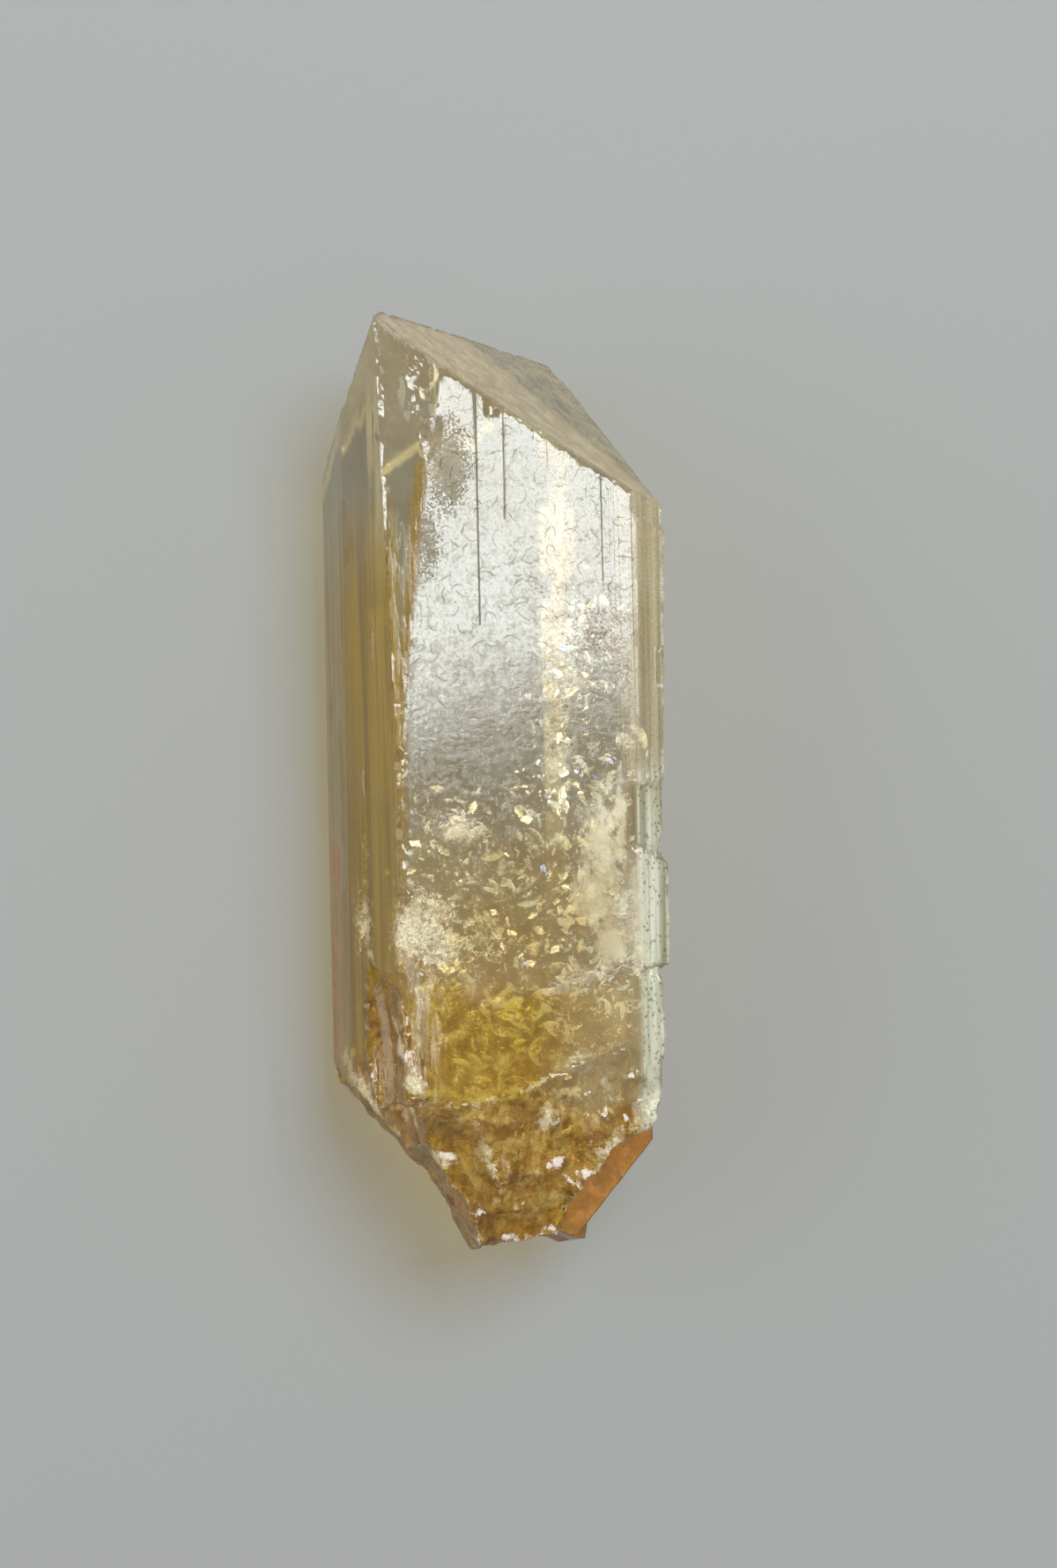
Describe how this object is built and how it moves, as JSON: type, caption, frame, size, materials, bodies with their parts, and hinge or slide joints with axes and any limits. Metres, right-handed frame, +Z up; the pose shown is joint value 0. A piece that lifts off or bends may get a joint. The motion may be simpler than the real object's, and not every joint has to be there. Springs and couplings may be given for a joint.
{
  "type": "danburite crystal",
  "caption": "Slender prismatic mineral crystal with a slanting wedge tip, striated sides and a broken, iron-stained base, lying on its flat back face.",
  "frame": {"origin": "centre of the crystal's box at the height of the flat back face that it lies on", "axes": "+Y along the prism towards the slanting tip, +Z up out of the wide front face, +X to the right seen from above"},
  "size_m": [0.0234, 0.0692, 0.02],
  "materials": {
    "crystal": "clear to milky golden crystal, glossy growth faces, frosted striae, iron stain at the base"
  },
  "bodies": {
    "root": {"danburite_crystal": "crystal"}
  },
  "joints": []
}
